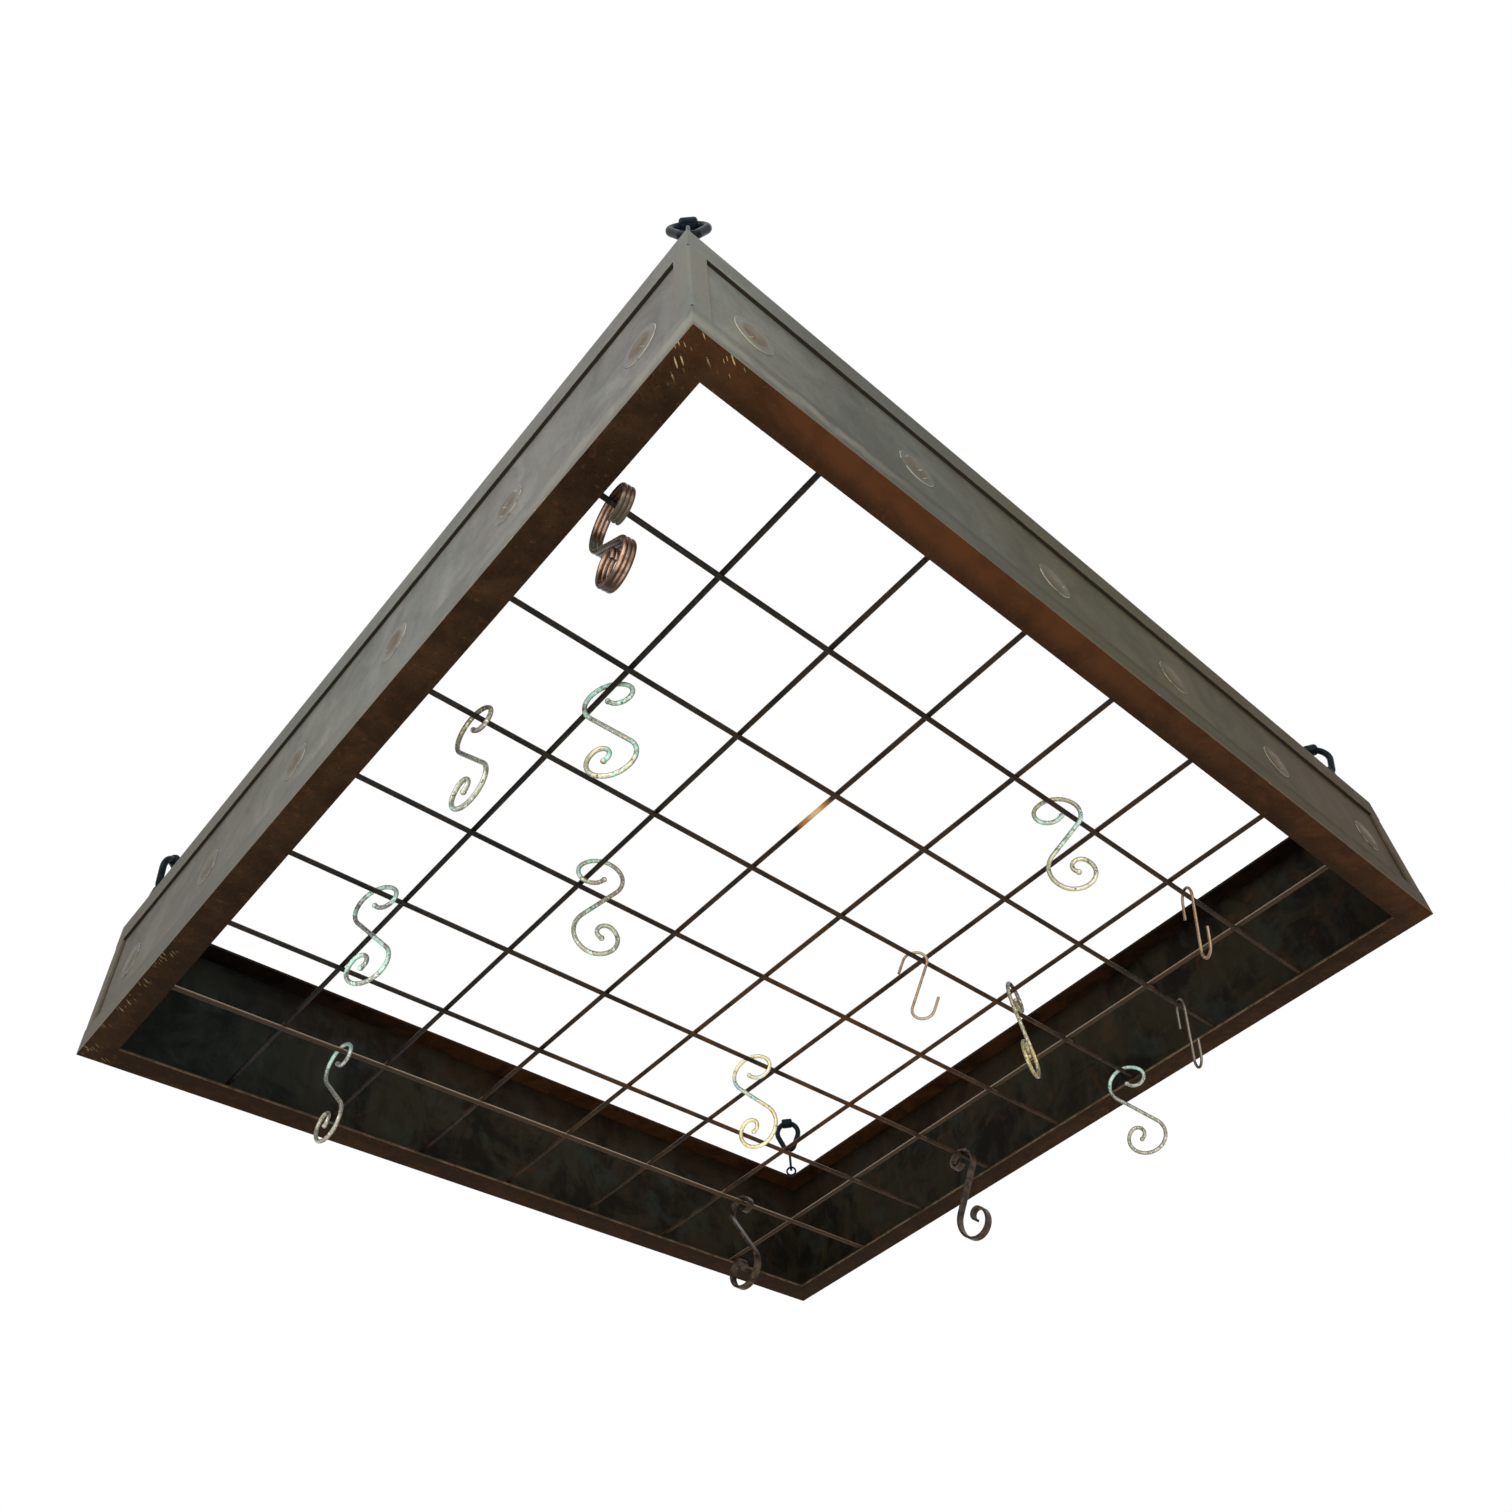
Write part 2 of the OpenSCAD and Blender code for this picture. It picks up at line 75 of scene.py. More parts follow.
class Paint:
    """One material, whose nodes are made by short calls that return sockets."""

    def __init__(self, name):
        self.material = bpy.data.materials.new(name)
        self.material.use_nodes = True
        self.tree = self.material.node_tree
        self.tree.nodes.clear()
        self.output = self.add("ShaderNodeOutputMaterial")
        self.shader = self.add("ShaderNodeBsdfPrincipled")
        self.tree.links.new(self.shader.outputs[0], self.output.inputs[0])
        self.point = self.add("ShaderNodeTexCoord").outputs["Object"]
        split = self.add("ShaderNodeSeparateXYZ")
        self.put(split.inputs[0], self.point)
        self.x, self.y, self.z = split.outputs

    def add(self, kind):
        return self.tree.nodes.new(kind)

    def put(self, socket, value):
        if isinstance(value, bpy.types.NodeSocket):
            self.tree.links.new(value, socket)
        else:
            socket.default_value = value

    def math(self, operation, *values):
        n = self.add("ShaderNodeMath")
        n.operation = operation
        for socket, value in zip(n.inputs, values):
            self.put(socket, value)
        return n.outputs[0]

    def chain(self, operation, values):
        result = values[0]
        for value in values[1:]:
            result = self.math(operation, result, value)
        return result

    def times(self, *values):
        return self.chain("MULTIPLY", values)

    def plus(self, *values):
        return self.chain("ADD", values)

    def most(self, *values):
        return self.chain("MAXIMUM", values)

    def but(self, share):
        """What a share leaves over."""
        return self.math("SUBTRACT", 1.0, share)

    def away(self, value, place):
        """How far a coordinate is from a place."""
        return self.math("ABSOLUTE", self.math("SUBTRACT", value, place))

    def fade(self, value, start, end, low=0.0, high=1.0):
        """Smooth step of value from low at start to high at end."""
        n = self.add("ShaderNodeMapRange")
        n.interpolation_type = "SMOOTHSTEP"
        for socket, v in zip(n.inputs, (value, start, end, low, high)):
            self.put(socket, v)
        return n.outputs[0]

    def upright(self, squeeze):
        """The point with its height squeezed, so that a noise runs in upright streaks."""
        n = self.add("ShaderNodeMapping")
        self.put(n.inputs[0], self.point)
        n.inputs["Scale"].default_value = (1.0, 1.0, squeeze)
        return n.outputs[0]

    def noise(self, scale, detail, rough, bend=0.0, at=None):
        n = self.add("ShaderNodeTexNoise")
        self.put(n.inputs["Vector"], at or self.point)
        n.inputs["Scale"].default_value = scale
        n.inputs["Detail"].default_value = detail
        n.inputs["Roughness"].default_value = rough
        n.inputs["Distortion"].default_value = bend
        return n.outputs["Fac"]

    def cells(self, scale, at=None, flat=False):
        """Distance to the nearest of scattered points, and that point's own number."""
        n = self.add("ShaderNodeTexVoronoi")
        n.voronoi_dimensions = "2D" if flat else "3D"
        self.put(n.inputs["Vector"], at or self.point)
        n.inputs["Scale"].default_value = scale
        own = self.add("ShaderNodeSeparateColor")
        self.put(own.inputs[0], n.outputs["Color"])
        return n.outputs["Distance"], own.outputs[0]

    def join(self, x, y, z=0.0):
        n = self.add("ShaderNodeCombineXYZ")
        for socket, value in zip(n.inputs, (x, y, z)):
            self.put(socket, value)
        return n.outputs[0]

    def mix(self, share, a, b, kind="MIX"):
        """Colour b over a; 6, 7 and 2 are the node's colour sockets."""
        n = self.add("ShaderNodeMix")
        n.data_type = "RGBA"
        n.blend_type = kind
        self.put(n.inputs[0], share)
        self.put(n.inputs[6], a)
        self.put(n.inputs[7], b)
        return n.outputs[2]

    def ramp(self, value, stops):
        """Colour by a value, from pairs of place and sRGB triple."""
        n = self.add("ShaderNodeValToRGB")
        self.put(n.inputs[0], value)
        points = n.color_ramp.elements
        points.remove(points[1])
        points[0].position = stops[0][0]
        points[0].color = rgb(*stops[0][1])
        for place, tone in stops[1:]:
            points.new(place).color = rgb(*tone)
        return n.outputs[0]

    def scaled(self, colour, factor):
        n = self.add("ShaderNodeVectorMath")
        n.operation = "SCALE"
        self.put(n.inputs[0], colour)
        self.put(n.inputs["Scale"], factor)
        return n.outputs[0]

    def towards(self, direction):
        """How far the mesh's own normal, before bump, looks along a fixed direction."""
        n = self.add("ShaderNodeVectorMath")
        n.operation = "DOT_PRODUCT"
        self.put(n.inputs[0], self.add("ShaderNodeNewGeometry").outputs["True Normal"])
        n.inputs[1].default_value = direction
        return n.outputs["Value"]

    def bump(self, height, depth, strength):
        n = self.add("ShaderNodeBump")
        n.inputs["Strength"].default_value = strength
        n.inputs["Distance"].default_value = depth
        self.put(n.inputs["Height"], height)
        return n.outputs[0]

    def finish(self, colour, rough, metallic, normal, gloss):
        self.put(self.shader.inputs["Base Color"], colour)
        self.put(self.shader.inputs["Roughness"], rough)
        self.put(self.shader.inputs["Metallic"], metallic)
        self.put(self.shader.inputs["Normal"], normal)
        self.shader.inputs["Specular IOR Level"].default_value = gloss
        return self.material


def dress(names, material):
    for name in names:
        mesh = nodes[name].data
        mesh.materials.clear()
        mesh.materials.append(material)


# ---- places on the rack -----------------------------------------------------

def inward(p, coordinate, start, end, low=0.0, high=1.0):
    """Fade by the distance in from the outer side that faces minus a coordinate."""
    return p.fade(coordinate, start - HALF, end - HALF, low, high)


def near_line(p, x, y, reach):
    """1 at an upright line through (x, y), fading out over reach metres."""
    dx = p.away(p.x, x)
    dy = p.away(p.y, y)
    far = p.math("SQRT", p.plus(p.times(dx, dx), p.times(dy, dy)))
    return p.fade(far, reach, 0.0)


def outerness(p):
    """Distance of a point from the rack's middle, square-wise."""
    return p.most(p.math("ABSOLUTE", p.x), p.math("ABSOLUTE", p.y))


def along_side(p):
    """Distance of an outer face's point from the middle of its side."""
    return p.math("MINIMUM", p.math("ABSOLUTE", p.x), p.math("ABSOLUTE", p.y))


def on_rod(p, coordinate, place):
    """1 on the rod that lies at a place, 0 on its neighbours."""
    return p.fade(p.away(coordinate, place), 0.0052, 0.0042)


# ---- frame ------------------------------------------------------------------

# Tones of the two seen sides, by distance in metres from the near corner: partly patina, partly painted
# light that falls off away from the corner.
WEST_TONES = (
    (0.05, (124, 122, 118)), (0.40, (120, 121, 116)), (0.65, (105, 104, 97)), (0.95, (97, 93, 84)))
SOUTH_TONES = (
    (0.03, (124, 127, 120)), (0.13, (97, 98, 92)), (0.45, (76, 73, 56)), (0.85, (69, 57, 37)))
UNSEEN = (104, 101, 92)
COOLER = (0.92, 1.03, 1.04, 1.0)
WARMER = (1.05, 0.96, 0.84, 1.0)
HOLE_UP = 0.033  # height of the small hole in the near post, over the underside


def patina_and_painted_light(p):
    """Grey-green bronze patina of the frame's outer faces, over the whole rack, with painted light
    brightest by the near corner.
    """
    wide = p.noise(4.5, 4, 0.55, 0.5)
    cloud = p.noise(22, 6, 0.62, 0.9)
    fine = p.noise(260, 4, 0.6)
    west = p.ramp(p.plus(p.y, HALF), WEST_TONES)
    south = p.ramp(p.plus(p.x, HALF), SOUTH_TONES)
    base = p.mix(inward(p, p.x, 0.014, 0.006), rgb(*UNSEEN), west)
    base = p.mix(inward(p, p.y, 0.014, 0.006), base, south)
    base = p.mix(p.fade(wide, 0.50, 0.66, high=0.5), base, COOLER, "MULTIPLY")
    base = p.mix(p.fade(wide, 0.48, 0.32, high=0.5), base, WARMER, "MULTIPLY")
    tone = p.times(p.fade(cloud, 0.28, 0.72, 0.80, 1.20), p.fade(fine, 0.3, 0.7, 0.94, 1.06))
    return p.scaled(base, tone), cloud, fine


def strokes(p, u, v, angle, width, length, share):
    """Short thin scratches in the (u, v) plane, along one direction."""
    c = math.cos(angle)
    s = math.sin(angle)
    along = p.plus(p.times(u, c), p.times(v, s))
    across = p.math("SUBTRACT", p.times(v, c), p.times(u, s))
    at = p.join(p.times(along, width / length), across)
    far, own = p.cells(0.2 / width, at, flat=True)
    worn = p.noise(0.5 / width, 1, 0.5)
    reach = p.times(p.fade(own, 0.0, share, 0.20, 0.07), p.fade(worn, 0.35, 0.6, 0.75, 1.1))
    mark = p.but(p.math("DIVIDE", far, reach))
    return p.times(p.fade(mark, 0.0, 0.35), p.fade(own, share + 0.01, share))


def flange_brown(p, cloud, fine):
    """Warm, speckled brown of the faces that look down."""
    rust = p.noise(75, 6, 0.68, 0.4)
    speck = p.noise(420, 3, 0.6)
    base = p.mix(p.fade(cloud, 0.36, 0.66), rgb(54, 38, 25), rgb(74, 53, 35))
    base = p.mix(p.fade(rust, 0.54, 0.70, high=0.5), base, rgb(98, 62, 37))
    base = p.mix(p.fade(rust, 0.45, 0.32, high=0.5), base, rgb(40, 30, 19))
    base = p.mix(p.fade(speck, 0.44, 0.34, high=0.5), base, rgb(31, 23, 15))
    # The inner half is duller than the rim.
    inner_half = p.fade(outerness(p), HALF - 0.012, HALF - 0.024, high=0.35)
    base = p.mix(inner_half, base, rgb(42, 32, 22))
    return p.mix(p.fade(fine, 0.60, 0.72, high=0.35), base, rgb(112, 80, 50))


def frame_outer(name):
    """Patina, with its painted light, outside and dark metal inside, for the rails and posts."""
    p = Paint(name)
    base, cloud, fine = patina_and_painted_light(p)
    out = outerness(p)
    inner = p.fade(out, PANEL_OUT + 0.0012, PANEL_OUT + 0.0004)
    dark = p.mix(p.fade(cloud, 0.42, 0.62), rgb(22, 22, 18), rgb(42, 29, 19))
    return p, p.mix(inner, base, dark), cloud, fine, out


def top_rail():
    p, colour, cloud, fine, out = frame_outer("upper_rail_patina")
    colour = p.scaled(colour, p.fade(p.plus(p.x, p.y), -0.75, -0.10, 0.97, 1.08))
    # The leg's lower edge is in shadow; the flange's underside is nearly black
    # to the west and reddish brown over the middle of the two far rails.
    down = p.fade(p.towards(UP), -0.5, -0.9)
    edge = p.times(down, p.fade(out, HALF - 0.004, HALF - 0.0032))
    colour = p.mix(edge, colour, rgb(60, 53, 45))
    flange = p.times(down, p.fade(out, HALF - 0.0032, HALF - 0.004))
    brown = p.mix(p.fade(cloud, 0.38, 0.62), rgb(20, 17, 13), rgb(34, 25, 17))
    warm = p.times(p.fade(p.x, -0.36, 0.05), p.fade(p.y, -0.50, 0.30))
    brown = p.mix(p.times(warm, p.fade(cloud, 0.32, 0.6, 0.35, 0.95)), brown, rgb(82, 52, 31))
    colour = p.mix(flange, colour, brown)
    # Inside the leg the dark turns reddish towards the flange.
    leg = p.times(p.fade(out, HALF - 0.0008, HALF - 0.0018), p.fade(p.z, -0.026, -0.004), p.but(down))
    far = p.times(p.fade(p.x, -0.40, -0.10, 0.1, 0.65), p.fade(p.y, -0.30, 0.10))
    colour = p.mix(p.times(leg, far), colour, rgb(58, 34, 21))
    # The top edge and, in places, the lip's lower arris are rubbed paler.
    rim = p.times(p.fade(p.z, -0.0016, -0.0002), p.fade(out, HALF - 0.0015, HALF - 0.0003, high=0.3))
    colour = p.mix(rim, colour, rgb(112, 110, 102))
    lip = p.fade(p.z, 0.0012 - ANGLE_W, 0.0002 - ANGLE_W)
    lip = p.times(lip, p.fade(out, HALF - 0.0006, HALF - 0.0001))
    lip = p.times(lip, p.fade(p.noise(70, 4, 0.6), 0.48, 0.6, high=0.5))
    colour = p.mix(lip, colour, rgb(132, 122, 100))
    rough = p.fade(cloud, 0.3, 0.7, 0.48, 0.64)
    bumps = p.bump(p.plus(cloud, p.times(fine, 0.15)), GRAIN, 0.4)
    return p.finish(colour, rough, 0.05, bumps, 0.04)


def tide_mark(p, height, cloud):
    """A wavy pale mark along the low rail's outer faces, strongest by the near corner."""
    west = p.times(inward(p, p.x, 0.010, 0.004), p.fade(p.y, -0.15, -0.47))
    near = p.most(west, near_line(p, -HALF, -HALF, 0.35))
    wave = p.times(p.math("SUBTRACT", p.noise(34, 3, 0.5), 0.5), 0.022)
    tide = p.plus(height, wave)
    line = p.times(p.fade(tide, 0.024, 0.017), p.fade(tide, 0.004, 0.012))
    return p.times(line, p.fade(near, 0.0, 0.9, 0.05, 0.55), p.fade(cloud, 0.3, 0.6, 0.4, 1.0))


def low_flange(p, cloud, fine):
    """The low rail's underside: brown, and orange-brown along the south rim."""
    brown = flange_brown(p, cloud, fine)
    rim = inward(p, p.y, 0.027, 0.010, 0.25, 1.0)
    near_end = inward(p, p.x, 0.01, 0.14, 0.35, 1.0)
    far_end = p.fade(p.x, 0.15, -0.15, 0.35, 1.0)
    band = p.times(rim, near_end, far_end, p.fade(cloud, 0.3, 0.6, 0.55, 1.0))
    south = inward(p, p.y, 0.06, 0.03)
    brown = p.mix(p.times(south, band), brown, rgb(104, 64, 38))
    brown = p.scaled(brown, inward(p, p.x, 0.06, 0.03, 0.92, 1.02))
    return p.mix(p.fade(p.y, 0.0, 0.4, high=0.2), brown, rgb(34, 23, 15))


def low_scratches(p):
    """Bare scratches on the flange by the near corner, and a few further on."""
    fresh = strokes(p, p.x, p.y, 0.55, 0.0008, 0.0060, 0.62)
    cross = strokes(p, p.y, p.x, 0.95, 0.0007, 0.0050, 0.40)
    west_rim = p.times(inward(p, p.x, 0.018, 0.010), inward(p, p.y, 0.050, 0.030))
    south_rim = p.times(inward(p, p.y, 0.018, 0.010), inward(p, p.x, 0.060, 0.035))
    far_west = p.times(inward(p, p.x, 0.013, 0.007), p.fade(p.away(p.y, 0.36), 0.10, 0.06, high=0.4))
    far_corner = p.times(near_line(p, 0.01 - HALF, HALF - 0.01, 0.030), 0.6)
    return p.times(p.most(fresh, cross), p.most(west_rim, south_rim, far_west, far_corner))


def low_rail():
    p, colour, cloud, fine, out = frame_outer("lower_rail_patina")
    height = p.plus(p.z, DEEP)
    # Painted shade darkens the south face; the other faces are painted lighter.
    colour = p.scaled(colour, inward(p, p.y, 0.010, 0.004, 1.08, 0.86))
    colour = p.mix(tide_mark(p, height, cloud), colour, rgb(160, 158, 144))
    strip = p.times(p.fade(height, 0.010, 0.001), p.fade(cloud, 0.35, 0.65, 0.05, 0.3))
    colour = p.mix(strip, colour, rgb(134, 120, 98))
    # The lower arris is bare, with brighter knocks here and there.
    chips = p.noise(60, 5, 0.65)
    arris = p.times(p.fade(height, 0.0014, 0.0003), p.fade(chips, 0.38, 0.58, 0.15, 0.75))
    colour = p.mix(arris, colour, rgb(132, 108, 80))
    knocks = p.times(p.fade(p.noise(34, 2, 0.5), 0.60, 0.68), p.fade(p.noise(330, 2, 0.5), 0.50, 0.60))
    knocks = p.times(knocks, p.fade(height, 0.0030, 0.0010, high=0.8))
    colour = p.mix(knocks, colour, rgb(188, 170, 130))
    # The flange, seen from below and, dimmer, from above.
    brown = low_flange(p, cloud, fine)
    down = p.fade(p.towards(UP), -0.4, -0.8)
    up = p.fade(p.towards(UP), 0.4, 0.8)
    colour = p.mix(down, colour, brown)
    above = p.times(up, p.fade(out, HALF - 0.0015, HALF - 0.0025))
    colour = p.mix(above, colour, p.mix(0.3, brown, rgb(60, 42, 28)))
    # The flange's inner edge is a thin, paler line.
    edge = p.fade(out, HALF - ANGLE_W + 0.0008, HALF - ANGLE_W + 0.0001)
    edge = p.times(edge, p.fade(height, 0.0016, 0.0010, 0.35, 1.0), p.but(p.most(down, up)))
    bright_mark = p.mix(p.fade(chips, 0.40, 0.60), rgb(90, 71, 53), rgb(130, 107, 84))
    colour = p.mix(edge, colour, bright_mark)
    colour = p.mix(p.times(low_scratches(p), down, 0.9), colour, rgb(212, 190, 130))
    rough = p.fade(cloud, 0.3, 0.7, 0.50, 0.68)
    bumps = p.bump(p.plus(cloud, p.times(fine, 0.25)), GRAIN, 0.45)
    return p.finish(colour, rough, 0.05, bumps, 0.04)


def post():
    p, colour, cloud, fine, _ = frame_outer("post_patina")
    colour = p.mix(p.fade(cloud, 0.40, 0.62, high=0.35), colour, rgb(120, 110, 95))
    # Beside its free edge the strip is rubbed paler.
    free = p.fade(along_side(p), HALF - POST_W + 0.0016, HALF - POST_W + 0.0004, high=0.3)
    colour = p.mix(free, colour, rgb(134, 127, 112))
    # Painted shade: a dark spot stands in for the small hole in the near post.
    corner = near_line(p, 0.0007 - HALF, 0.0007 - HALF, 0.0022)
    hole_shade = p.times(corner, p.fade(p.away(p.z, HOLE_UP - DEEP), 0.0016, 0.0009))
    colour = p.mix(hole_shade, colour, rgb(26, 22, 18))
    rough = p.fade(cloud, 0.3, 0.7, 0.48, 0.64)
    bumps = p.bump(p.plus(cloud, p.times(fine, 0.15)), GRAIN, 0.4)
    return p.finish(colour, rough, 0.05, bumps, 0.04)


def panel_inside(p):
    """Nearly black walls: greenish to the west, olive and brown further on."""
    blotch = p.noise(12, 6, 0.65, 0.9)
    streak = p.noise(60, 5, 0.65, 0.3, p.upright(0.22))
    cold = p.mix(p.fade(blotch, 0.42, 0.58), rgb(26, 31, 29), rgb(38, 42, 38))
    olive = p.mix(p.fade(blotch, 0.40, 0.58), rgb(28, 25, 19), rgb(50, 45, 33))
    wall = p.mix(p.fade(p.x, -0.42, -0.05), cold, olive)
    wall = p.mix(p.fade(p.noise(16, 4, 0.6, 0.6), 0.52, 0.66, high=0.6), wall, rgb(50, 56, 49))
    wall = p.scaled(wall, p.fade(p.x, HALF - 0.015, HALF - 0.006, 1.0, 0.80))
    wall = p.mix(p.fade(streak, 0.52, 0.66, high=0.25), wall, rgb(60, 56, 46))
    wall = p.mix(p.fade(streak, 0.46, 0.34, high=0.3), wall, rgb(18, 18, 15))
    rusty = p.times(p.fade(p.noise(26, 5, 0.62, 0.6), 0.57, 0.70), p.fade(p.x, -0.4, 0.0, 0.2, 0.55))
    wall = p.mix(rusty, wall, rgb(70, 47, 26))
    # Reddish under the top flange, to the far corner; painted shade darkens it by the low one.
    high = p.times(p.fade(p.z, -0.052, -ANGLE_W), p.fade(p.y, -0.30, 0.10))
    high = p.times(high, p.fade(p.x, -0.4, 0.0, 0.15, 0.45))
    wall = p.mix(high, wall, rgb(44, 27, 16))
    return p.mix(p.fade(p.z, 0.017 - DEEP, 0.004 - DEEP, high=0.4), wall, rgb(30, 22, 15))


def panel():
    p = Paint("panel_patina")
    base, cloud, fine = patina_and_painted_light(p)
    # Broad soft streaks across the panel.
    runs = p.noise(9, 4, 0.6, 0.2, p.upright(0.10))
    base = p.scaled(base, p.fade(runs, 0.3, 0.7, 0.86, 1.14))
    low_tone = p.plus(1.0, inward(p, p.x, 0.014, 0.006, high=0.12))
    base = p.scaled(base, p.fade(p.z, -0.05, -0.14, 1.0, low_tone))
    # Painted shade lies under the top rail's lip and beside the posts.
    lip = p.fade(p.z, -ANGLE_W - 0.0026, -ANGLE_W - 0.0005, high=0.5)
    beside_post_shade = p.fade(along_side(p), HALF - POST_W - 0.0042, HALF - POST_W - 0.0008, high=0.85)
    base = p.mix(p.most(lip, beside_post_shade), base, rgb(34, 31, 25))
    is_inner = p.fade(outerness(p), PANEL_OUT - 0.0005, PANEL_OUT - 0.001)
    colour = p.mix(is_inner, base, panel_inside(p))
    rough = p.fade(is_inner, 0.0, 1.0, 0.52, 0.66)
    bumps = p.bump(p.plus(cloud, p.times(fine, 0.15)), GRAIN, 0.4)
    return p.finish(colour, rough, 0.05, bumps, 0.04)


def medallion():
    p = Paint("medallion_patina")
    base, cloud, fine = patina_and_painted_light(p)
    rise = p.math("SUBTRACT", outerness(p), PANEL_OUT)
    at_sw = near_line(p, -HALF, -HALF, 0.9)
    patch = p.noise(80, 5, 0.62, 0.6)
    # A brown dome with painted shade at its foot, some scratches and a broken painted highlight on the rim.
    crown = p.times(p.fade(rise, 0.00095, 0.0016), p.fade(patch, 0.38, 0.58, 0.55, 0.95))
    base = p.mix(crown, base, rgb(98, 86, 65))
    # Painted shade at the foot.
    base = p.mix(p.fade(rise, 0.0004, 0.0001, high=0.5), base, rgb(44, 36, 28))
    rubs = strokes(p, p.plus(p.x, p.y), p.z, 0.9, 0.0008, 0.0080, 0.50)
    rubs = p.times(rubs, p.fade(rise, 0.0009, 0.0012), p.plus(0.1, p.times(at_sw, 0.6)))
    base = p.mix(rubs, base, rgb(186, 176, 150))
    # The rim's painted highlight is strongest by the near corner.
    ring = p.times(p.fade(rise, 0.00005, 0.00025), p.fade(rise, 0.00076, 0.00062))
    rim_highlight = p.times(ring, p.fade(patch, 0.40, 0.54, 0.15, 1.0), p.plus(0.55, p.times(at_sw, 0.45)))
    base = p.mix(rim_highlight, base, rgb(204, 198, 172))
    rough = p.fade(cloud, 0.3, 0.7, 0.40, 0.55)
    bumps = p.bump(p.plus(patch, p.times(fine, 0.2)), GRAIN, 0.5)
    return p.finish(base, rough, 0.08, bumps, 0.08)


def rod():
    p = Paint("rod_brown")
    cloud = p.noise(28, 5, 0.62, 0.4)
    fine = p.noise(300, 3, 0.6)
    # Nearly black to the west and browner to the east; painted warm light gives the middle rods a bronze
    # cast.
    cold = p.mix(p.fade(cloud, 0.38, 0.62), rgb(24, 22, 20), rgb(42, 37, 31))
    warm = p.mix(p.fade(cloud, 0.38, 0.62), rgb(42, 29, 17), rgb(68, 48, 29))
    colour = p.mix(p.fade(p.x, -0.40, 0.05), cold, warm)
    warm_light = p.times(p.fade(p.away(p.x, 0.12), 0.30, 0.05), p.fade(p.away(p.y, 0.10), 0.34, 0.05))
    warm_light = p.times(warm_light, p.fade(cloud, 0.40, 0.60, high=0.65))
    colour = p.mix(warm_light, colour, rgb(102, 64, 20))
    colour = p.mix(p.fade(fine, 0.55, 0.7, high=0.4), colour, rgb(96, 76, 56))
    # A painted reflection: a short stretch of the third cross rod carries a bright warm glare.
    bright_mark = p.times(on_rod(p, p.x, THIRD_ROD), p.fade(p.away(p.y, -0.204), 0.026, 0.012))
    glare_tone = p.mix(p.fade(p.away(p.y, -0.206), 0.014, 0.002), rgb(222, 142, 82), rgb(255, 222, 168))
    colour = p.mix(bright_mark, colour, glare_tone)
    # Painted light: the two rods beside the far walls are lighter brown, and their upper half carries a
    # pale painted highlight with some dust.
    last = p.most(on_rod(p, p.y, LAST_ROD), on_rod(p, p.x, LAST_ROD))
    colour = p.mix(p.times(last, 0.5), colour, rgb(84, 65, 46))
    highlight_and_dust = p.times(last, p.fade(p.towards(UP), -0.40, 0.35), p.fade(p.x, 0.34, 0.35, 0.85, 0.6))
    colour = p.mix(highlight_and_dust, colour, rgb(170, 152, 126))
    rough = p.fade(cloud, 0.3, 0.7, 0.36, 0.52)
    return p.finish(colour, rough, 0.25, p.bump(fine, 0.0002, 0.5), 0.3)


# ---- hangers and hooks ------------------------------------------------------

def steel():
    p = Paint("hanger_black_steel")
    cloud = p.noise(90, 4, 0.6, 0.4)
    fine = p.noise(500, 3, 0.6)
    colour = p.mix(p.fade(cloud, 0.4, 0.62), rgb(6, 14, 21), rgb(17, 31, 42))
    colour = p.mix(p.fade(fine, 0.60, 0.72, high=0.4), colour, rgb(70, 86, 96))
    rough = p.fade(cloud, 0.3, 0.7, 0.26, 0.38)
    return p.finish(colour, rough, 0.0, p.bump(fine, 0.00025, 0.5), 0.08)


def aged_brass(name, upper, middle, lower, green):
    """Brass wire, its tone by height, under broken patches of verdigris.

    green is the share of the crust on the upper curl, the stem and the lower curl."""
    p = Paint(name)
    over_stem = p.fade(p.z, STEM_Z + 0.010, STEM_Z + 0.034)
    under_stem = p.fade(p.z, STEM_Z - 0.010, STEM_Z - 0.034)
    tone = p.mix(over_stem, rgb(*middle), rgb(*upper))
    tone = p.mix(under_stem, tone, rgb(*lower))
    more_above = p.times(over_stem, green[0] - green[1])
    more_below = p.times(under_stem, green[2] - green[1])
    share = p.plus(green[1], more_above, more_below)
    mottle = p.noise(210, 3, 0.6)
    fine = p.noise(430, 3, 0.62)
    metal = p.mix(p.fade(mottle, 0.47, 0.34, high=0.6), tone, rgb(96, 84, 62))
    blotch = p.plus(p.noise(62, 3, 0.55, 0.4), p.times(p.math("SUBTRACT", fine, 0.5), 0.30))
    mask = p.fade(p.plus(blotch, p.times(share, 0.42)), 0.68, 0.74)
    crust = p.mix(p.fade(mottle, 0.40, 0.60), rgb(160, 214, 198), rgb(218, 242, 230))
    colour = p.mix(mask, metal, crust)
    # White bloom and dark specks, a millimetre or so wide.
    colour = p.mix(p.fade(fine, 0.56, 0.63, high=0.8), colour, rgb(244, 245, 234))
    pits, own = p.cells(260)
    specks = p.times(p.fade(pits, 0.30, 0.18), p.fade(own, 0.62, 0.68, high=0.8))
    colour = p.mix(specks, colour, rgb(56, 47, 33))
    # Painted light: brighter where it faces the room below, darker behind.
    colour = p.scaled(colour, p.fade(p.towards(PAINTED_LIGHT_FROM), 0.25, 0.97, 0.46, 1.6))
    rough = p.fade(mask, 0.2, 0.8, 0.30, 0.55)
    metallic = p.fade(mask, 0.2, 0.8, 0.3, 0.0)
    height = p.plus(p.times(mask, 0.7), p.times(fine, 0.5))
    return p.finish(colour, rough, metallic, p.bump(height, 0.0004, 0.6), 0.3)


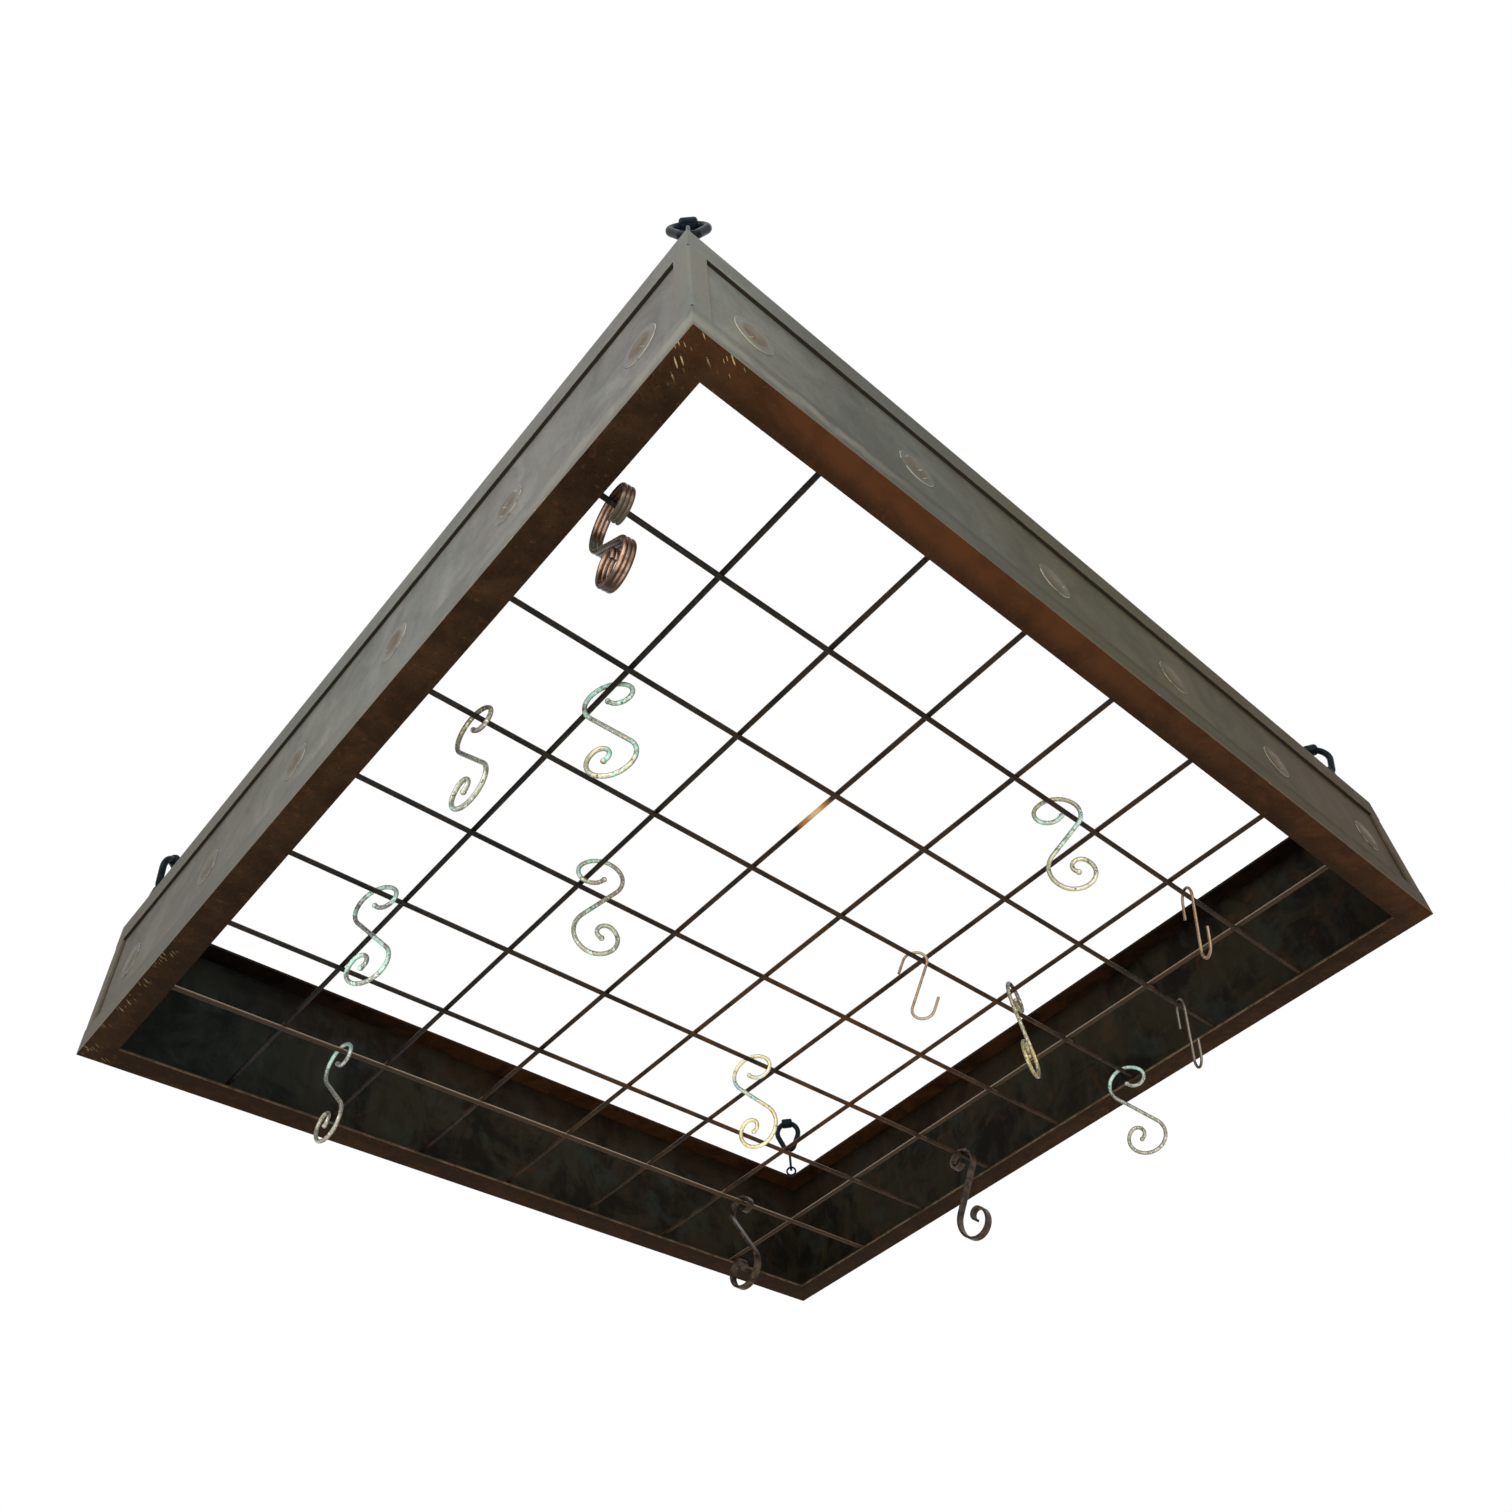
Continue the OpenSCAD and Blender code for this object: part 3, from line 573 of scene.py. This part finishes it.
def iron():
    p = Paint("hook_iron")
    cloud = p.noise(110, 5, 0.6, 0.5)
    fine = p.noise(420, 3, 0.6)
    colour = p.mix(p.fade(cloud, 0.4, 0.62), rgb(44, 35, 28), rgb(84, 69, 54))
    colour = p.mix(p.fade(fine, 0.58, 0.70, high=0.5), colour, rgb(150, 128, 100))
    # Painted light: brighter where it faces the room below, darker behind.
    colour = p.scaled(colour, p.fade(p.towards(PAINTED_LIGHT_FROM), 0.0, 0.95, 0.55, 1.3))
    rough = p.fade(cloud, 0.3, 0.7, 0.28, 0.44)
    return p.finish(colour, rough, 0.3, p.bump(p.plus(cloud, fine), 0.0004, 0.6), 0.3)


def copper():
    p = Paint("hook_reeded_copper")
    cloud = p.noise(70, 3, 0.55, 0.3)
    fine = p.noise(380, 3, 0.6)
    colour = p.mix(p.fade(cloud, 0.40, 0.6), rgb(68, 49, 37), rgb(100, 75, 57))
    # The stem is dull grey-green.
    stem = p.fade(p.away(p.z, STEM_Z), 0.030, 0.014)
    colour = p.mix(p.times(stem, p.fade(cloud, 0.3, 0.6, 0.5, 0.9)), colour, rgb(104, 98, 82))
    # Painted light: brighter where it faces the room below, and a pale pink painted highlight on the curls'
    # ribs.
    colour = p.scaled(colour, p.fade(p.towards(PAINTED_LIGHT_FROM), -0.1, 0.9, 0.40, 1.3))
    rib_highlight = p.times(p.fade(p.towards(PAINTED_LIGHT_FROM), 0.72, 0.98), p.fade(cloud, 0.36, 0.60, 0.2, 0.9))
    colour = p.mix(p.times(rib_highlight, p.but(stem)), colour, rgb(226, 186, 162))
    rough = p.fade(cloud, 0.3, 0.7, 0.24, 0.36)
    return p.finish(colour, rough, 0.5, p.bump(fine, 0.0002, 0.4), 0.4)


def wire(name, dark, light, glint, metallic):
    p = Paint(name)
    cloud = p.noise(70, 4, 0.6, 0.4)
    fine = p.noise(600, 3, 0.6)
    colour = p.mix(p.fade(cloud, 0.4, 0.6), rgb(*dark), rgb(*light))
    # A painted highlight where the wire faces the room below.
    glint_mask = p.times(p.fade(p.towards(PAINTED_LIGHT_FROM), 0.55, 0.95), p.fade(fine, 0.40, 0.60, 0.6, 0.95))
    colour = p.mix(glint_mask, colour, rgb(*glint))
    rough = p.fade(cloud, 0.3, 0.7, 0.28, 0.44)
    return p.finish(colour, rough, metallic, p.bump(fine, 0.0002, 0.4), 0.3)


OLIVE = (158, 154, 128)
GREY = (150, 153, 148)
CREAM = (204, 200, 170)

# Hooks, the name of their brass, and then as aged_brass takes them.
BRASSES = (
    (["hook_02"], "green_cream", (160, 170, 158), (176, 180, 162), (200, 196, 164), (0.55, 0.25, 0.45)),
    (["hook_03"], "grey_stem", OLIVE, (146, 139, 134), (176, 176, 160), (0.10, 0.05, 0.20)),
    (["hook_04"], "olive", OLIVE, (156, 148, 122), (172, 172, 150), (0.50, 0.15, 0.30)),
    (["hook_05"], "grey_green", GREY, (144, 142, 143), GREY, (0.70, 0.20, 0.60)),
    (["hook_06", "hook_15"], "silver_green",
     (178, 186, 178), (162, 163, 156), (166, 162, 144), (0.60, 0.10, 0.10)),
    (["hook_07"], "yellow", (254, 232, 178), (236, 234, 198), (255, 234, 180), (0.10, 0.45, 0.05)),
    (["hook_10"], "cream_green", (182, 176, 146), (166, 178, 160), CREAM, (0.30, 0.75, 0.20)),
    (["hook_12"], "brass", (122, 114, 92), (158, 150, 124), (176, 158, 108), (0.10, 0.10, 0.05)),
)
# Hook, the name of its wire, dark, light and glint, and how metallic it is.
WIRES = (
    ("hook_11", "brown_wire", (126, 96, 66), (188, 156, 118), (240, 222, 190), 0.35),
    ("hook_13", "copper_wire", (92, 68, 46), (156, 124, 90), (206, 176, 142), 0.35),
    ("hook_14", "grey_wire", (50, 44, 36), (88, 78, 64), (170, 160, 142), 0.5),
)

dress(["rail_top_" + side for side in SIDES], top_rail())
dress(["rail_low_" + side for side in SIDES], low_rail())
dress(["post_" + corner for corner in CORNERS], post())
dress(["panel_" + side for side in SIDES], panel())
dress(["medallions_" + side for side in SIDES], medallion())
dress([f"rod_{axis}_{i}" for axis in "xy" for i in RODS], rod())
dress(["eyes"] + [kind + corner for kind in ("link_", "loop_") for corner in CORNERS], steel())
for hooks, brass, *look in BRASSES:
    dress(hooks, aged_brass("hook_" + brass, *look))
dress(["hook_08", "hook_09"], iron())
dress(["hook_01"], copper())
for hook, kind, *look in WIRES:
    dress([hook], wire("hook_" + kind, *look))


# ---- stage, light and camera ------------------------------------------------

FLOOR_REACH = 9.0
FLOOR_Z = -2.15
LAMP_AIM = (0, 0, -0.1)

# The photograph's camera: its lens in pixels of the square picture, and its
# place in metres and turn in degrees.
PICTURE_PX = 1512
FOCAL_PX = 1342.61
CENTRE_X_PX = 816.14
CENTRE_Y_PX = 797.99
SENSOR_MM = 36.0
CAMERA_AT = (-0.76152, -0.78695, -1.05647)
CAMERA_TURN = (136.7561, 5.3970, -42.3457)


def stage_floor():
    """A plain pale floor a good way under the rack, clear from below."""
    mesh = bpy.data.meshes.new("floor")
    corners = [(x * FLOOR_REACH, y * FLOOR_REACH, FLOOR_Z) for x, y in ((-1, -1), (1, -1), (1, 1), (-1, 1))]
    mesh.from_pydata(corners, [], [(0, 1, 2, 3)])
    floor = bpy.data.objects.new("floor", mesh)
    bpy.context.scene.collection.objects.link(floor)
    p = Paint("floor_pale")
    p.put(p.shader.inputs["Base Color"], rgb(250, 250, 248))
    p.put(p.shader.inputs["Roughness"], 0.9)
    back = p.add("ShaderNodeNewGeometry").outputs["Backfacing"]
    clear = p.add("ShaderNodeBsdfTransparent")
    pick = p.add("ShaderNodeMixShader")
    p.put(pick.inputs[0], back)
    p.put(pick.inputs[1], p.shader.outputs[0])
    p.put(pick.inputs[2], clear.outputs[0])
    p.put(p.output.inputs[0], pick.outputs[0])
    mesh.materials.append(p.material)


def world():
    """Soft light all round, with plain white behind what the camera sees."""
    w = bpy.data.worlds.new("studio")
    bpy.context.scene.world = w
    w.use_nodes = True
    tree = w.node_tree
    tree.nodes.clear()
    out = tree.nodes.new("ShaderNodeOutputWorld")
    lit = tree.nodes.new("ShaderNodeBackground")
    lit.inputs[0].default_value = (1.0, 0.985, 0.965, 1)
    lit.inputs[1].default_value = 0.4
    seen = tree.nodes.new("ShaderNodeBackground")
    seen.inputs[0].default_value = (1, 1, 1, 1)
    seen.inputs[1].default_value = 1.0
    path = tree.nodes.new("ShaderNodeLightPath")
    share = path.outputs["Is Camera Ray"]
    for ray in ("Is Transmission Ray", "Is Glossy Ray"):
        either = tree.nodes.new("ShaderNodeMath")
        either.operation = "MAXIMUM"
        tree.links.new(share, either.inputs[0])
        tree.links.new(path.outputs[ray], either.inputs[1])
        share = either.outputs[0]
    pick = tree.nodes.new("ShaderNodeMixShader")
    tree.links.new(share, pick.inputs[0])
    tree.links.new(lit.outputs[0], pick.inputs[1])
    tree.links.new(seen.outputs[0], pick.inputs[2])
    tree.links.new(pick.outputs[0], out.inputs[0])


def lamp(name, place, size, power, colour):
    light = bpy.data.lights.new(name, "AREA")
    light.shape = "SQUARE"
    light.size = size
    light.energy = power
    light.color = colour
    obj = bpy.data.objects.new(name, light)
    bpy.context.scene.collection.objects.link(obj)
    obj.location = place
    obj.rotation_euler = (Vector(LAMP_AIM) - Vector(place)).to_track_quat("-Z", "Y").to_euler()


def camera():
    data = bpy.data.cameras.new("camera")
    obj = bpy.data.objects.new("camera", data)
    bpy.context.scene.collection.objects.link(obj)
    data.sensor_width = SENSOR_MM
    data.lens = SENSOR_MM * FOCAL_PX / PICTURE_PX
    data.shift_x = 0.5 - CENTRE_X_PX / PICTURE_PX
    data.shift_y = CENTRE_Y_PX / PICTURE_PX - 0.5
    data.clip_end = 60
    obj.location = CAMERA_AT
    obj.rotation_euler = [math.radians(turn) for turn in CAMERA_TURN]
    bpy.context.scene.camera = obj


stage_floor()
world()
lamp("key", (-3.2, -1.2, 0.9), 2.4, 46, (1.0, 0.99, 0.97))
lamp("fill", (-0.8, -3.4, -0.2), 2.6, 24, (1.0, 0.96, 0.9))
lamp("low", (-1.5, -1.5, -2.0), 2.2, 20, (1.0, 0.97, 0.93))
camera()
bpy.context.scene.view_settings.view_transform = "Standard"
